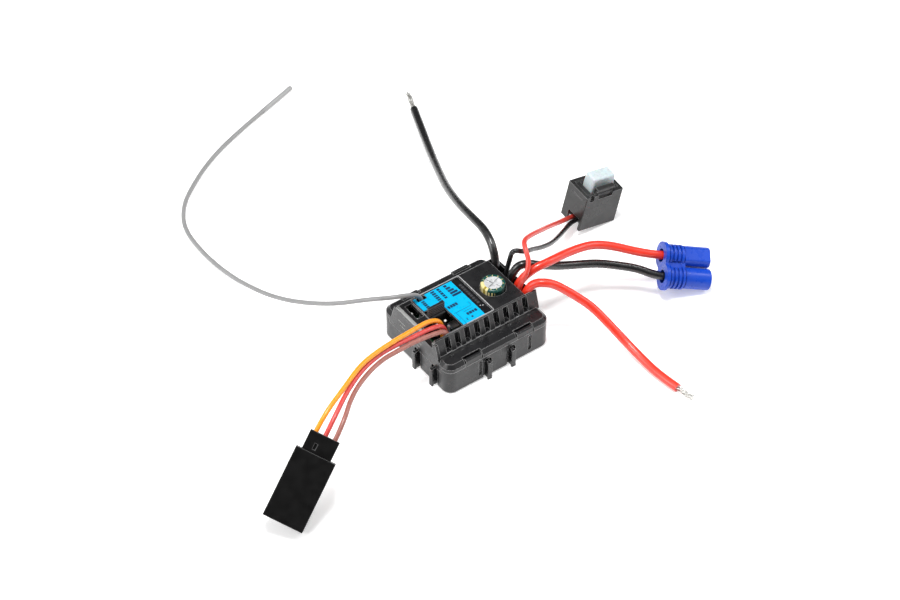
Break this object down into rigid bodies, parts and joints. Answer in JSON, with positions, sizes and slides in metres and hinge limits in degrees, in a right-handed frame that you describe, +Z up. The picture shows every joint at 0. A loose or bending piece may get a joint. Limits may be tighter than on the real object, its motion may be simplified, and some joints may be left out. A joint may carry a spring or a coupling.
{
  "type": "electronic speed controller with receiver",
  "caption": "Small boxed brushed speed controller and receiver with a pull-off jumper, push switch, battery plug, servo lead, motor leads and antenna.",
  "frame": {"origin": "centre of the case's underside", "axes": "+X along the case towards the power wires, +Y across it, +Z up out of the label"},
  "size_m": [0.1457, 0.1664, 0.0232],
  "materials": {
    "case_plastic": "black moulded nylon, fine satin grain",
    "seal_rubber": "black rubber",
    "label_vinyl": "printed vinyl, cyan blue and glossy black",
    "circuit_board": "green solder mask",
    "chip_epoxy": "black moulding compound",
    "pin_metal": "tin-plated",
    "header_plastic": "black moulded nylon",
    "light_guide": "clear plastic light guide",
    "capacitor_aluminium": "bright aluminium",
    "capacitor_film": "dark green shrink sleeve with a pale stripe",
    "plug_contact_brass": "gold-plated",
    "potting_rubber": "black potting",
    "plug_blue": "royal blue moulded nylon",
    "button_plastic": "milky translucent plastic",
    "glue": "milky hot-melt glue",
    "wire_black": "black silicone insulation",
    "wire_red": "red silicone insulation",
    "wire_orange": "orange insulation",
    "wire_brown": "brown insulation",
    "antenna_jacket": "grey coax jacket",
    "antenna_core": "clear inner insulation",
    "tinned_copper": "tinned stranded wire"
  },
  "bodies": {
    "controller": {"lower_case": "case_plastic", "upper_cover": "case_plastic", "case_gasket": "seal_rubber", "top_label": "label_vinyl", "main_board": "circuit_board", "receiver_board": "circuit_board", "power_transistors": "chip_epoxy", "microcontroller": "chip_epoxy", "voltage_regulator": "chip_epoxy", "radio_chip": "chip_epoxy", "crystal": "pin_metal", "board_header": "header_plastic", "board_header_pins": "pin_metal", "bind_header": "header_plastic", "bind_pins": "pin_metal", "selector_header": "header_plastic", "selector_pins": "pin_metal", "status_light": "light_guide", "capacitor_can": "capacitor_aluminium", "capacitor_sleeve": "capacitor_film", "capacitor_bung": "seal_rubber", "capacitor_leads": "pin_metal", "wire_seal": "potting_rubber", "servo_seal": "potting_rubber", "antenna_pad": "pin_metal", "servo_plug_shell": "header_plastic", "servo_plug_insert": "header_plastic", "servo_plug_pins": "plug_contact_brass", "battery_plug_housing": "plug_blue", "battery_plug_contacts": "plug_contact_brass", "switch_housing": "case_plastic", "switch_body": "header_plastic", "switch_terminals": "pin_metal", "switch_seal": "glue", "motor_wire_black": "wire_black", "motor_wire_red": "wire_red", "battery_wire_red": "wire_red", "battery_wire_black": "wire_black", "switch_wire_red": "wire_red", "switch_wire_black": "wire_black", "servo_wire_orange": "wire_orange", "servo_wire_red": "wire_red", "servo_wire_brown": "wire_brown", "antenna_cable": "antenna_jacket", "antenna_tip": "antenna_core", "motor_tip_black": "tinned_copper", "motor_tip_red": "tinned_copper"},
    "jumper": {"jumper_housing": "header_plastic", "jumper_contact": "plug_contact_brass"},
    "button": {"switch_button": "button_plastic", "switch_plunger": "button_plastic"}
  },
  "joints": [
    {"name": "jumper_pull", "type": "slide", "parent": "controller", "child": "jumper", "axis": [0, 0, 1], "range_m": [0, 0.006]},
    {"name": "button_press", "type": "slide", "parent": "controller", "child": "button", "axis": [-0.1584, 0.0712, -0.9848], "range_m": [0, 0.0015], "stiffness_N_per_m": 1300}
  ]
}
